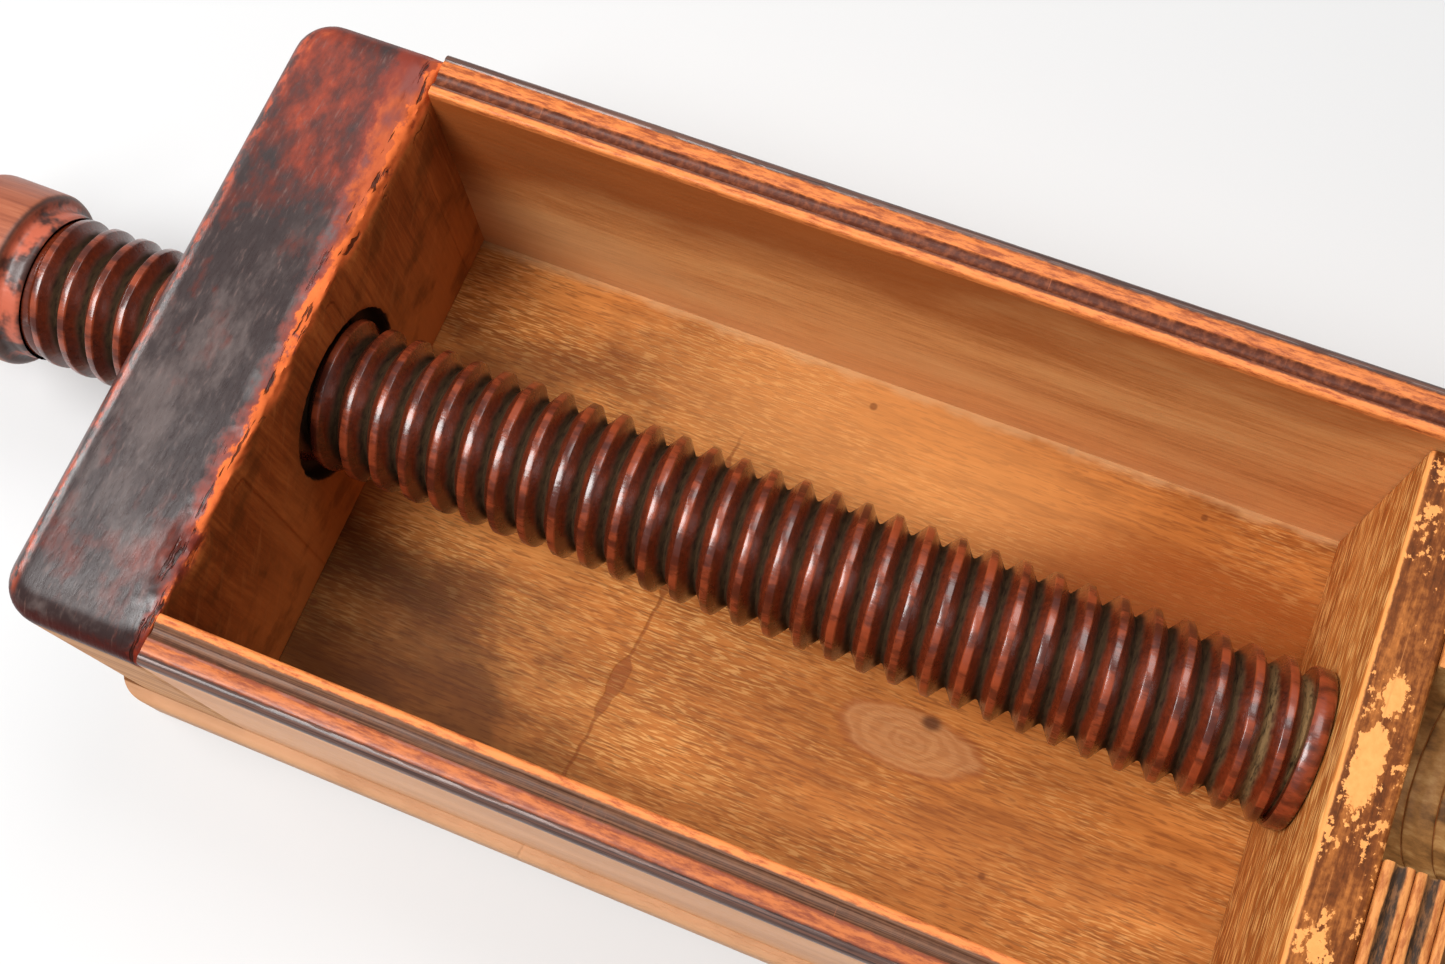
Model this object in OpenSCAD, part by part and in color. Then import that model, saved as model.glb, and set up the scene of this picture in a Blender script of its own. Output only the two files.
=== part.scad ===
// Wooden screw-clamped corn sheller: an open box with a threaded nut block at one end,
// a large wooden screw that drives a sliding follower, and a pack of shelling plates
// whose half-round notches line up into a cradle. Millimetres, +Z up, +X from the
// screw head towards the plates, origin under the middle of the base board.

/* [Box] */
// Clear width between the side walls
inner_w = 179; // [140:1:220]
// Thickness of each side wall
wall_t = 15.5; // [13:0.5:20]
// Height of the side walls above the base board
wall_h = 102; // [98:1:130]
// Length of the open trough between nut block and follower when clamped
trough_len = 318.5; // [250:0.5:400]
// Thickness of the base board
base_t = 16; // [12:0.5:24]
// How far the base board stands out past each side wall
base_lip = 4.5; // [1:0.5:8]
// Length of the stub tenons on the side walls
tenon_len = 18; // [10:1:24]
// Height of the stub tenons
tenon_h = 61; // [40:1:70]
// Height of the tenons' lower edge above the base board
tenon_rise = 18; // [10:1:30]
// Thickness of the stub tenons
tenon_t = 7; // [5:0.5:9]

/* [End blocks] */
// Thickness of the threaded nut block, along the screw
nut_t = 50; // [40:1:65]
// Thickness of the plain tail block
tail_t = 50; // [30:1:65]
// Radius of the blocks' outer vertical corners
corner_r = 13; // [4:1:20]
// Radius of the blocks' outer top edges
top_r = 9; // [3:1:12]
// Radius of the blocks' outer lower edges
foot_r = 1.5; // [0.5:0.5:3]

/* [Wall moulding] */
// Width of the hollow that runs along each wall top
hollow_w = 4.3; // [2:0.1:6]
// Depth of that hollow
hollow_depth = 1.2; // [0.4:0.1:2]
// Distance from the wall's inner face to the hollow
hollow_inset = 3.4; // [2:0.1:5]
// Radius of the small round-overs on the wall top
bead_r = 1.2; // [0.4:0.1:1.6]
// Radius of the wall's outer top edge
wall_edge_r = 2.6; // [1:0.1:3.5]

/* [Screw] */
// Diameter over the thread crests
crest_d = 50; // [40:1:54]
// Pitch of the right-handed thread
pitch = 10.2; // [8:0.1:13]
// Depth of the thread
thread_depth = 5; // [3:0.1:5.5]
// Width of the flat on the thread crest
crest_flat = 2.4; // [1.5:0.1:3]
// Width of the flat at the thread root
root_flat = 0.8; // [0.4:0.1:1.5]
// Depth of the screw's axis below the wall tops
axis_drop = 51; // [46:1:56]
// Sideways offset of the screw's axis from the box's centre line, towards the far wall
axis_y = 3; // [-6:0.5:6]
// Plain collar that bears on the follower
front_collar = 6; // [4:0.5:10]
// Threaded length that stands out of the nut block when clamped
outer_thread = 55.5; // [25:0.5:65]
// Plain collar on the head, next to the thread
rear_collar = 8; // [6:1:20]
// Diameter of the stem that holds the head
stem_d = 32; // [24:1:36]
// Length of the stem past the collar
stem_len = 30; // [24:1:36]
// Radial clearance of the thread in the nut block
thread_gap = 0.5; // [0.35:0.05:0.8]
// Depth of the counterbore at the thread's mouth
mouth_depth = 8; // [4:1:14]
// Radius of the counterbore at the thread's mouth
mouth_r = 29.5; // [28:0.5:33]

/* [Head and turning bar] */
// Diameter of the head next to the collar
head_d = 60; // [54:1:66]
// Length of the full-diameter part of the head
head_len = 27; // [20:1:34]
// Length of the waist between head and boss
waist_len = 12; // [8:1:18]
// Diameter of the boss that the bar passes through
boss_d = 44; // [38:1:48]
// Length of the boss
boss_len = 38; // [34:1:48]
// Diameter of the turning bar
bar_d = 14; // [10:1:18]
// Length of the turning bar over its knobs
bar_len = 100; // [90:2:110]
// Diameter of each bar knob
knob_d = 23; // [20:1:26]
// Length of each bar knob
knob_len = 12; // [10:1:14]
// Wood left past the bar's end in each knob
knob_wall = 3; // [2:0.5:4]
// Diameter of the peg that pins the head to the stem
head_peg_d = 6; // [4:0.5:9]
// Distance of that peg from the stem's start
head_peg_back = 21; // [14:1:24]
// Diameter of the peg that holds the bar, driven in along the axis
bar_peg_d = 5.6; // [4:0.2:8]

/* [Follower] */
// Thickness of the follower
follower_t = 18; // [17:0.5:26]
// Depth of the follower's and the plates' tops below the wall tops
top_drop = 9; // [6:0.5:14]
// Diameter of the screw's nose in the follower
nose_d = 24; // [18:1:30]
// Depth of the nose in the follower
nose_len = 13; // [11:0.5:14]
// Width of the groove round the nose
groove_w = 4; // [3:0.5:5]
// Depth of the groove round the nose
groove_depth = 3; // [2:0.5:4]
// Width of the garter key
key_w = 34; // [30:1:44]

/* [Shelling plates] */
// Number of plates
plate_count = 14; // [14:1:14]
// Thickness of each plate
plate_t = 8.5; // [6:0.5:12]
// Radius of the half-round notch in each plate
notch_r = 28; // [20:1:36]
// Width of the hollow along each plate's top edge
plate_hollow_w = 3.6; // [2:0.2:4.4]
// Depth of that hollow
plate_hollow_depth = 0.9; // [0.4:0.1:1.4]

/* [Pegs] */
// Diameter of the pegs under the base
peg_d = 9; // [6:1:10]
// Depth of the base pegs in the blocks and walls
peg_len = 24; // [16:1:34]
// Distance of the inner block pegs from the centre line
block_peg_y = 29.5; // [20:0.5:40]
// Distance of the outer block pegs from the box's sides
block_peg_edge = 29.5; // [20:0.5:40]
// Distance of the first and last wall pegs from the end blocks
wall_peg_end = 46; // [25:1:70]

/* [Fits] */
// Gap between a sliding or loose piece and its neighbours
slide_gap = 0.3; // [0.3:0.05:0.6]
// Radial clearance of glued and pegged joints
glue_gap = 0.05; // [0.02:0.01:0.08]
// Radial clearance of the nose and bar in their holes
running_gap = 0.08; // [0.05:0.01:0.1]

/* [Hidden] */

// Facets round one turn of the thread
SEGMENTS = 24;
// How far cutters reach past a face
overlap = 1;
// End clearance of tenons and blind holes
joint_gap = 0.1;
// Start of the thread's pattern ahead of its end face, so that no crest point falls on that face
thread_phase = 0.137;

plate_pitch = plate_t + slide_gap;
pack_len = plate_count * plate_pitch + 2 * slide_gap;
box_len = nut_t + trough_len + follower_t + pack_len + tail_t;
outer_w = inner_w + 2 * wall_t;
box_left = -box_len / 2;
nut_face = box_left + nut_t;
follower_x = nut_face + trough_len;
pack_x = follower_x + follower_t + slide_gap;
tail_face = box_left + box_len - tail_t;
wall_len = tail_face - nut_face;
wall_top = base_t + wall_h;
axis_z = wall_top - axis_drop;
low_top = wall_top - top_drop;
insert_w = inner_w - 2 * slide_gap;
insert_z = base_t + slide_gap;

crest_r = crest_d / 2;
collar_r = crest_r + 0.3;
root_r = crest_r - thread_depth;
thread_start = box_left - outer_thread;
thread_end = follower_x - slide_gap - front_collar;
head_x = thread_start - rear_collar;
stem_end = head_x - stem_len;
head_end = head_x - head_len - waist_len - boss_len;
bar_x = head_end + boss_len / 2;
bar_hole_r = bar_d / 2 + running_gap;
knob_face = bar_len / 2 - knob_len;
nose_r = nose_d / 2;
groove_r = nose_r - groove_depth;
groove_x = follower_x + (nose_len - groove_w) / 2;
key_top = axis_z + nose_r + 2;
key_t = groove_w - 2 * running_gap;
tenon_z = base_t + tenon_rise;
wall_peg_r = min(peg_d, wall_t - 8) / 2;
head_peg_x = head_x - head_peg_back;
bar_peg_r = bar_peg_d / 2;
bar_peg_x = bar_x + bar_d / 2 + 4;

// A cylinder along +X from x0 to x1
module rod_x(x0, x1, r, y = axis_y, z = axis_z) {
    translate([x0, y, z]) rotate([0, 90, 0]) cylinder(r = r, h = x1 - x0, $fn = 72);
}

// A body of revolution about the screw's axis; points are [radius, x]
module turned(points) {
    translate([0, axis_y, axis_z]) rotate([0, 90, 0]) rotate_extrude($fn = 72) polygon(points);
}

// The waste outside a rounded corner of radius r at the origin, corner pointing to +X +Y
module corner_waste(r) {
    difference() {
        translate([-r, -r]) square(r + overlap);
        translate([-r, -r]) circle(r, $fn = 64);
    }
}

// A board edge: a rectangle w by h with both upper corners rounded
module round_topped(w, h, r) {
    difference() {
        square([w, h]);
        translate([w, h]) corner_waste(r);
        translate([0, h]) mirror([1, 0]) corner_waste(r);
    }
}

// A round-bottomed hollow of width w and depth d, centred on the origin, cut downwards
module hollow_cut(w, d) {
    r = (w * w / 4 + d * d) / (2 * d);
    translate([0, r - d]) circle(r, $fn = 64);
}

// Single-start right-handed thread about +X, on a skewed grid so that crests stay crisp.
// It starts a turn before x0 and ends a turn after x1; grow swells it for the nut.
function thread_profile(grow) = [
    [0, crest_r + grow], [crest_flat, crest_r + grow],
    [(pitch + crest_flat - root_flat) / 2, root_r + grow],
    [(pitch + crest_flat + root_flat) / 2, root_r + grow]];

module thread_solid(x0, x1, grow) {
    profile = thread_profile(grow);
    steps = len(profile);
    turns = ceil((x1 - x0) / pitch) + 2;
    rows = turns * steps;
    first_x = thread_start + thread_phase - pitch + floor((x0 - thread_start) / pitch) * pitch;
    rings = [for (i = [0:rows]) for (j = [0:SEGMENTS - 1])
        let (a = 360 * j / SEGMENTS, p = profile[i % steps])
        [first_x + floor(i / steps) * pitch + p[0] + pitch * j / SEGMENTS,
            p[1] * cos(a), p[1] * sin(a)]];
    last = len(rings);
    points = concat(rings, [[first_x + pitch, 0, 0], [first_x + turns * pitch, 0, 0]]);
    sides = [for (i = [0:rows - 1]) for (j = [0:SEGMENTS - 2])
        let (a = i * SEGMENTS + j, b = a + SEGMENTS)
        each [[a, b + 1, a + 1], [a, b, b + 1]]];
    seam = [for (i = [0:rows - steps - 1])
        let (a = i * SEGMENTS + SEGMENTS - 1, b = (i + steps) * SEGMENTS)
        each [[a, b + SEGMENTS, b], [a, a + SEGMENTS, b + SEGMENTS]]];
    start_cap = concat(
        [for (j = [0:SEGMENTS - 2]) [last, j, j + 1]],
        [for (i = [0:steps - 1]) [last, (i + 1) * SEGMENTS, i * SEGMENTS]],
        [[last, SEGMENTS - 1, steps * SEGMENTS]]);
    end_row = rows * SEGMENTS;
    end_cap = concat(
        [for (j = [0:SEGMENTS - 2]) [last + 1, end_row + j + 1, end_row + j]],
        [for (i = [0:steps - 1])
            [last + 1, (rows - i) * SEGMENTS - 1, (rows - i + 1) * SEGMENTS - 1]],
        [[last + 1, end_row, (rows - steps + 1) * SEGMENTS - 1]]);
    translate([0, axis_y, axis_z])
        polyhedron(points = points, faces = concat(sides, seam, start_cap, end_cap), convexity = 8);
}

module base_outline() {
    w = outer_w + 2 * base_lip;
    difference() {
        translate([box_left, -w / 2]) square([box_len, w]);
        for (sx = [0, 1], sy = [0, 1]) mirror([sx, 0]) mirror([0, sy])
            translate([box_len / 2, w / 2]) corner_waste(corner_r);
    }
}

// Places for the pegs that hold the two blocks, and for those that hold the two walls
module at_block_pegs() {
    outer_peg_y = outer_w / 2 - block_peg_edge;
    for (x = [box_left + nut_t / 2, tail_face + tail_t / 2], y = [-outer_peg_y, -block_peg_y, block_peg_y, outer_peg_y])
        translate([x, y, 0]) children();
}

module at_wall_pegs() {
    spacing = (wall_len - 2 * wall_peg_end) / 3;
    for (i = [0:3], side = [-1, 1])
        translate([nut_face + wall_peg_end + i * spacing, side * (inner_w + wall_t) / 2, 0]) children();
}

module peg(r, h) { cylinder(r = r, h = h, $fn = 48); }

module base_board() {
    edge = 2.5;
    w = outer_w + 2 * base_lip;
    color("peru") difference() {
        intersection() {
            linear_extrude(base_t) base_outline();
            translate([box_left, -w / 2, 0]) rotate([90, 0, 90])
                linear_extrude(box_len) round_topped(w, base_t, edge);
        }
        at_block_pegs() translate([0, 0, -overlap]) peg(peg_d / 2 + glue_gap, base_t + 2 * overlap);
        at_wall_pegs() translate([0, 0, -overlap]) peg(wall_peg_r + glue_gap, base_t + 2 * overlap);
    }
}

module block_pegs() {
    color("sienna") at_block_pegs() peg(peg_d / 2, base_t + peg_len);
}

module wall_pegs() {
    color("sienna") at_wall_pegs() peg(wall_peg_r, base_t + peg_len);
}

// Wall profile: x runs from the inner face outwards, y up from the base board
module wall_profile() {
    difference() {
        square([wall_t, wall_h]);
        translate([wall_t, wall_h]) corner_waste(wall_edge_r);
        translate([0, wall_h]) mirror([1, 0]) corner_waste(bead_r);
        translate([hollow_inset + hollow_w / 2, wall_h]) hollow_cut(hollow_w, hollow_depth);
    }
}

module tenon(x, len, gap) {
    translate([x, inner_w / 2 + (wall_t - tenon_t) / 2 - gap, tenon_z - gap])
        cube([len, tenon_t + 2 * gap, tenon_h + 2 * gap]);
}

module far_wall_solid() {
    difference() {
        union() {
            translate([nut_face, inner_w / 2, base_t]) rotate([90, 0, 90])
                linear_extrude(wall_len) wall_profile();
            tenon(nut_face - tenon_len, tenon_len + overlap, 0);
            tenon(tail_face - overlap, tenon_len + overlap, 0);
        }
        at_wall_pegs() peg(wall_peg_r + glue_gap, base_t + peg_len + joint_gap);
    }
}

module far_wall() { color("chocolate") far_wall_solid(); }
module near_wall() { color("chocolate") mirror([0, 1, 0]) far_wall_solid(); }

// Section of an end block's rounded edge, from the centre of its corner outwards
module edge_profile(w) {
    difference() {
        square([w, wall_h]);
        translate([w, wall_h]) corner_waste(top_r);
        translate([w, 0]) mirror([0, 1]) corner_waste(foot_r);
    }
}

// An end block from x = 0 to x = t, with its outer edges, those at x = 0, rounded
module end_block(t) {
    corner_y = outer_w / 2 - corner_r;
    translate([0, 0, base_t]) {
        difference() {
            intersection() {
                translate([t, outer_w / 2, 0]) rotate([90, 0, 0]) linear_extrude(outer_w)
                    mirror([1, 0]) edge_profile(t);
                rotate([90, 0, 90]) linear_extrude(t) for (side = [0, 1]) mirror([side, 0])
                    edge_profile(outer_w / 2);
            }
            for (side = [0, 1]) mirror([0, side, 0])
                translate([-overlap, corner_y, -overlap])
                    cube([corner_r + overlap, corner_r + overlap, wall_h + 2 * overlap]);
        }
        for (side = [-1, 1]) translate([corner_r, side * corner_y, 0])
            rotate_extrude($fn = 64) edge_profile(corner_r);
    }
}

module nut_block() {
    color("saddlebrown") difference() {
        translate([box_left, 0, 0]) end_block(nut_t);
        for (side = [0, 1]) mirror([0, side, 0])
            tenon(nut_face - tenon_len - joint_gap, tenon_len + joint_gap + overlap, glue_gap);
        thread_solid(box_left - pitch, nut_face + pitch, thread_gap);
        rod_x(nut_face - mouth_depth, nut_face + overlap, mouth_r);
        at_block_pegs() peg(peg_d / 2 + glue_gap, base_t + peg_len + joint_gap);
    }
}

module tail_block() {
    color("saddlebrown") difference() {
        translate([tail_face + tail_t, 0, 0]) mirror([1, 0, 0]) end_block(tail_t);
        for (side = [0, 1]) mirror([0, side, 0])
            tenon(tail_face - overlap, tenon_len + joint_gap + overlap, glue_gap);
        at_block_pegs() peg(peg_d / 2 + glue_gap, base_t + peg_len + joint_gap);
    }
}

module press_screw() {
    lip = 1.6;
    color("maroon") difference() {
        union() {
            intersection() {
                thread_solid(thread_start, thread_end, 0);
                rod_x(thread_start, thread_end, crest_r + overlap);
            }
            turned([[0, thread_end], [collar_r, thread_end], [collar_r, thread_end + front_collar - lip],
                [collar_r - lip, thread_end + front_collar], [0, thread_end + front_collar]]);
            rod_x(stem_end, thread_start + overlap, stem_d / 2);
            difference() {
                rod_x(thread_end + front_collar, follower_x + nose_len - joint_gap, nose_r);
                difference() {
                    rod_x(groove_x, groove_x + groove_w, nose_r + overlap);
                    rod_x(groove_x - overlap, groove_x + groove_w + overlap, groove_r);
                }
            }
        }
        head_peg_hole();
    }
}

module head_peg_hole() {
    translate([head_peg_x, axis_y, axis_z - head_d]) peg(head_peg_d / 2 + glue_gap, 2 * head_d);
}

module screw_head() {
    lip = 1.5;
    waist_r = boss_d / 2 - 4;
    head_r = head_d / 2;
    boss_r = boss_d / 2;
    tail_x = head_x - head_len;
    boss_x = tail_x - waist_len;
    dome = boss_r / 3;
    collar_x = thread_start - joint_gap;
    color("sienna") difference() {
        turned([[0, collar_x], [collar_r - lip, collar_x], [collar_r, collar_x - lip],
            [collar_r, head_x], [head_r - lip, head_x], [head_r, head_x - lip],
            [head_r, tail_x + 4], [head_r - 1, tail_x + 1.5], [head_r - 3, tail_x],
            [waist_r + 3, tail_x - 1.5], [waist_r, tail_x - 5], [waist_r, boss_x + 3],
            [boss_r - 1, boss_x], [boss_r, boss_x - 3], [boss_r, head_end + dome],
            [boss_r - 2, head_end + dome / 2], [boss_r - dome, head_end + 1],
            [boss_r - 2 * dome, head_end], [0, head_end]]);
        rod_x(stem_end - joint_gap, thread_start + overlap, stem_d / 2 + glue_gap);
        translate([bar_x, axis_y, axis_z - boss_d]) cylinder(r = bar_hole_r, h = 2 * boss_d, $fn = 72);
        rod_x(head_end - overlap, bar_peg_x + joint_gap, bar_peg_r + glue_gap);
        head_peg_hole();
    }
}

module head_peg() {
    color("burlywood") intersection() {
        translate([head_peg_x, axis_y, axis_z - head_d]) peg(head_peg_d / 2, 2 * head_d);
        rod_x(head_peg_x - head_peg_d, head_peg_x + head_peg_d, head_d / 2 - 0.2);
    }
}

module turning_bar() {
    spigot_len = bar_len - 2 * knob_wall;
    color("sienna") difference() {
        translate([bar_x, axis_y, axis_z - spigot_len / 2]) cylinder(r = bar_d / 2, h = spigot_len, $fn = 72);
        rod_x(bar_x - bar_d, bar_x + bar_d, bar_peg_r + glue_gap);
    }
}

// A peg driven in from the end of the head, through the bar
module bar_peg() {
    color("burlywood") rod_x(head_end + 0.5, bar_peg_x, bar_peg_r);
}

// The turned knob on the upper end of the bar, with a blind hole for the bar
module upper_knob_solid() {
    r = knob_d / 2;
    translate([bar_x, axis_y, 0]) difference() {
        rotate_extrude($fn = 64) polygon([[0, knob_face], [r - 2, knob_face], [r, knob_face + 2],
            [r, knob_face + knob_len - 4], [r - 1.5, knob_face + knob_len - 1.5],
            [r - 4, knob_face + knob_len], [0, knob_face + knob_len]]);
        translate([0, 0, knob_face - overlap])
            cylinder(r = bar_d / 2 + glue_gap, h = knob_len - knob_wall + overlap + joint_gap, $fn = 72);
    }
}

module upper_bar_knob() { color("sienna") translate([0, 0, axis_z]) upper_knob_solid(); }
module lower_bar_knob() { color("sienna") translate([0, 0, axis_z]) mirror([0, 0, 1]) upper_knob_solid(); }

module follower() {
    edge = 1.4;
    color("goldenrod") difference() {
        translate([follower_x, insert_w / 2, insert_z]) rotate([90, 0, 0])
            linear_extrude(insert_w) round_topped(follower_t, low_top - insert_z, edge);
        rod_x(follower_x - overlap, follower_x + nose_len + joint_gap, nose_r + running_gap);
        translate([groove_x, axis_y - key_w / 2 - glue_gap, insert_z - overlap])
            cube([groove_w, key_w + 2 * glue_gap, key_top - insert_z + overlap + joint_gap]);
    }
}

// A forked key pushed up from below the follower, astride the groove of the nose
module garter_key() {
    slot_r = groove_r + running_gap;
    x0 = groove_x + running_gap;
    color("burlywood") difference() {
        translate([x0, axis_y - key_w / 2, insert_z]) cube([key_t, key_w, axis_z + nose_r - insert_z]);
        rod_x(x0 - overlap, x0 + key_t + overlap, slot_r);
        translate([x0 - overlap, axis_y - slot_r, axis_z])
            cube([key_t + 2 * overlap, 2 * slot_r, nose_r + overlap]);
    }
}

// Plate k of the pack, counted from 1 at the follower
module shelling_plate(k) {
    x = pack_x + (k - 1) * plate_pitch;
    h = low_top - insert_z;
    color(k % 2 == 0 ? "peru" : "burlywood") difference() {
        translate([x, insert_w / 2, insert_z]) rotate([90, 0, 0])
            linear_extrude(insert_w) difference() {
                round_topped(plate_t, h, bead_r);
                translate([plate_t / 2, h]) hollow_cut(plate_hollow_w, plate_hollow_depth);
            }
        rod_x(x - overlap, x + plate_t + overlap, notch_r, 0, low_top);
    }
}

base_board();
near_wall();
far_wall();
nut_block();
tail_block();
block_pegs();
wall_pegs();
press_screw();
screw_head();
head_peg();
turning_bar();
bar_peg();
upper_bar_knob();
lower_bar_knob();
follower();
garter_key();
shelling_plate(1);  // shelling_plate_01
shelling_plate(2);  // shelling_plate_02
shelling_plate(3);  // shelling_plate_03
shelling_plate(4);  // shelling_plate_04
shelling_plate(5);  // shelling_plate_05
shelling_plate(6);  // shelling_plate_06
shelling_plate(7);  // shelling_plate_07
shelling_plate(8);  // shelling_plate_08
shelling_plate(9);  // shelling_plate_09
shelling_plate(10);  // shelling_plate_10
shelling_plate(11);  // shelling_plate_11
shelling_plate(12);  // shelling_plate_12
shelling_plate(13);  // shelling_plate_13
shelling_plate(14);  // shelling_plate_14
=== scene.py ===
"""The looks of the wooden corn sheller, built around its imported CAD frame. Units are metres."""

import math

import bmesh
import bpy
import numpy as np
from mathutils import Matrix, Vector, noise


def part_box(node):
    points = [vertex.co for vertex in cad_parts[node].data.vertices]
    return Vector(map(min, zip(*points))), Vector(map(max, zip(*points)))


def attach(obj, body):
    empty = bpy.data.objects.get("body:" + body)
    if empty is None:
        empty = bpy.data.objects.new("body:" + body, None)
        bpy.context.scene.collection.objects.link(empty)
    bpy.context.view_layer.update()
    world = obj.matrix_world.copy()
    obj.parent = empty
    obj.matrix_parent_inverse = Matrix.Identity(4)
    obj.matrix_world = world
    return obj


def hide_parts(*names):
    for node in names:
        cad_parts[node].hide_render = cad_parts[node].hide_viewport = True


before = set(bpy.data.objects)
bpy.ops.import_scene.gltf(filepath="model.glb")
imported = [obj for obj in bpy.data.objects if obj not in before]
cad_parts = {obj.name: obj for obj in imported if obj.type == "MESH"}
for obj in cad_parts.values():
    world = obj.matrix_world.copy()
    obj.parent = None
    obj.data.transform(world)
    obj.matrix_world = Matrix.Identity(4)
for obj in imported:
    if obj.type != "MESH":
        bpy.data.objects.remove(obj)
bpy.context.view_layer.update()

MM = 0.001
STAGE_GLOW = 0.24
SKY_GLOW = 0.36
STAGE_REACH = 4.0
STAGE_GAP = 0.2 * MM
PLATES = sorted(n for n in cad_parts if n.startswith("shelling_plate"))


# ---------------------------------------------------------------- places, from the frame

def low_high(node):
    """A CAD node's box, as two corners of plain floats."""
    return [[float(value) for value in corner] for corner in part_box(node)]


nut_low, nut_high = low_high("nut_block")
wall_low, wall_high = low_high("far_wall")
near_low, near_high = low_high("near_wall")
base_low, base_high = low_high("base_board")
follower_low, follower_high = low_high("follower")
screw_low, screw_high = low_high("press_screw")
plate_low, plate_high = low_high(PLATES[0])

wall_top = wall_high[2]
floor_top = base_high[2]
wall_t = near_high[1] - near_low[1]
inner_half = wall_low[1]
nut_face = nut_high[0]
tail_face = low_high("tail_block")[0][0]
head_face = low_high("screw_head")[1][0]

# The camera, solved from the box's edges
CAMERA_LENS = 43.1
CAMERA_RIGHT = (0.926, 0.374, -0.046)
CAMERA_BACK = (0.161, -0.282, 0.946)
CAMERA_PLACE = (nut_face + 0.2133, -0.1353, wall_top + 0.4666)

# The walls' moulded tops; AT is a distance from the inner face
BEAD_R = 1.2 * MM
HOLLOW_AT = 3.4 * MM
HOLLOW_W = 4.3 * MM
HOLLOW_DEPTH = 1.2 * MM
WIDE_BEAD_AT = 10.2 * MM
WIDE_BEAD_HALF = 2.2 * MM
OUTER_EDGE_R = 2.6 * MM

# Marks on the floor, seen from above
KNOT_AT, KNOT_SIZE = (-23 * MM, -27 * MM), (24 * MM, 10 * MM)
KNOT_EYE_AT, KNOT_EYE_SIZE = (-17.7 * MM, -19 * MM), (3.6 * MM, 2.6 * MM)
CRACK_X = -116.6 * MM

# Bare patches on the follower's top edge
PATCH_AT, PATCH_SIZE = (95.5 * MM, -8 * MM), (6 * MM, 18 * MM)
SMALL_PATCH_AT, SMALL_PATCH_SIZE = (97.5 * MM, 16 * MM), (5 * MM, 9 * MM)

# The thread, as the CAD part has it
PITCH = 10.2 * MM
CREST_R = 25.0 * MM
COLLAR_R = 25.3 * MM
THREAD_DEPTH = 5.0 * MM
CREST_FLAT = 2.4 * MM
ROOT_FLAT = 0.8 * MM
THREAD_PHASE = 0.137 * MM
FRONT_COLLAR = 6.0 * MM
NOSE_R = 12.0 * MM
STEM_R = 16.0 * MM
HEAD_STEM = 38.0 * MM
CONTACT_GAP = 0.3 * MM
axis_y = (screw_low[1] + screw_high[1]) / 2
axis_z = (screw_low[2] + screw_high[2]) / 2
thread_end = follower_low[0] - CONTACT_GAP - FRONT_COLLAR
thread_start = screw_low[0] + HEAD_STEM
NOTCH_R = 28.0 * MM


def rgb(red, green, blue):
    """An sRGB colour, 0 to 255, as the linear colour that shaders use."""
    def linear(value):
        return ((value / 255 + 0.055) / 1.055) ** 2.4 if value > 10 else value / 255 / 12.92

    return linear(red), linear(green), linear(blue), 1.0


# ---------------------------------------------------------------- camera, light and floor

def make_camera():
    """The photograph's view: steep, from the near right, over the trough."""
    data = bpy.data.cameras.new("camera")
    data.sensor_width = 36.0
    data.lens = CAMERA_LENS
    data.clip_end = 20.0
    camera = bpy.data.objects.new("camera", data)
    bpy.context.collection.objects.link(camera)
    right = Vector(CAMERA_RIGHT)
    back = Vector(CAMERA_BACK).normalized()
    up = back.cross(right).normalized()
    right = up.cross(back)
    turn = Matrix((right, up, back)).transposed().to_4x4()
    camera.matrix_world = Matrix.Translation(CAMERA_PLACE) @ turn
    bpy.context.scene.camera = camera


def area_light(name, place, target, size, power):
    """A white rectangular light; size is (width, height) and power is in watts."""
    data = bpy.data.lights.new(name, "AREA")
    data.shape = "RECTANGLE"
    data.size, data.size_y = size
    data.energy = power
    light = bpy.data.objects.new(name, data)
    light.location = place
    light.rotation_euler = (Vector(target) - Vector(place)).to_track_quat("-Z", "Y").to_euler()
    bpy.context.collection.objects.link(light)


def make_stage():
    """A pale glowing ground, an even sky, and three lights from the left and above."""
    floor_mesh = bpy.data.meshes.new("stage_floor")
    corners = [(STAGE_REACH * x, STAGE_REACH * y, 0) for x, y in ((-1, -1), (1, -1), (1, 1), (-1, 1))]
    floor_mesh.from_pydata(corners, [], [(0, 1, 2, 3)])
    floor = bpy.data.objects.new("stage_floor", floor_mesh)
    floor.location.z = base_low[2] - STAGE_GAP
    bpy.context.collection.objects.link(floor)
    shade = Shader("stage_pale")
    shade.set("Base Color", (0.45, 0.45, 0.45, 1))
    shade.set("Roughness", 0.9)
    shade.set("Specular IOR Level", 0.1)
    shade.set("Emission Color", (1, 1, 1, 1))
    shade.set("Emission Strength", STAGE_GLOW)
    floor_mesh.materials.append(shade.material)

    world = bpy.data.worlds.new("studio")
    world.use_nodes = True
    world.node_tree.nodes["Background"].inputs["Color"].default_value = (1, 1, 1, 1)
    world.node_tree.nodes["Background"].inputs["Strength"].default_value = SKY_GLOW
    bpy.context.scene.world = world
    view = bpy.context.scene.view_settings
    view.view_transform = "Standard"
    view.look = "None"
    view.exposure = 0.0

    area_light("key", (-0.62, -0.36, 1.25), (-0.05, 0, 0.05), (0.65, 0.65), 20.5)
    area_light("top", (0.1, 0.55, 1.3), (0, 0, 0.05), (0.8, 0.6), 7.0)
    area_light("side", (-1.25, 0.10, 0.50), (-0.2, 0, 0.08), (0.35, 0.25), 3.2)


# ---------------------------------------------------------------- shader building

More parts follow.
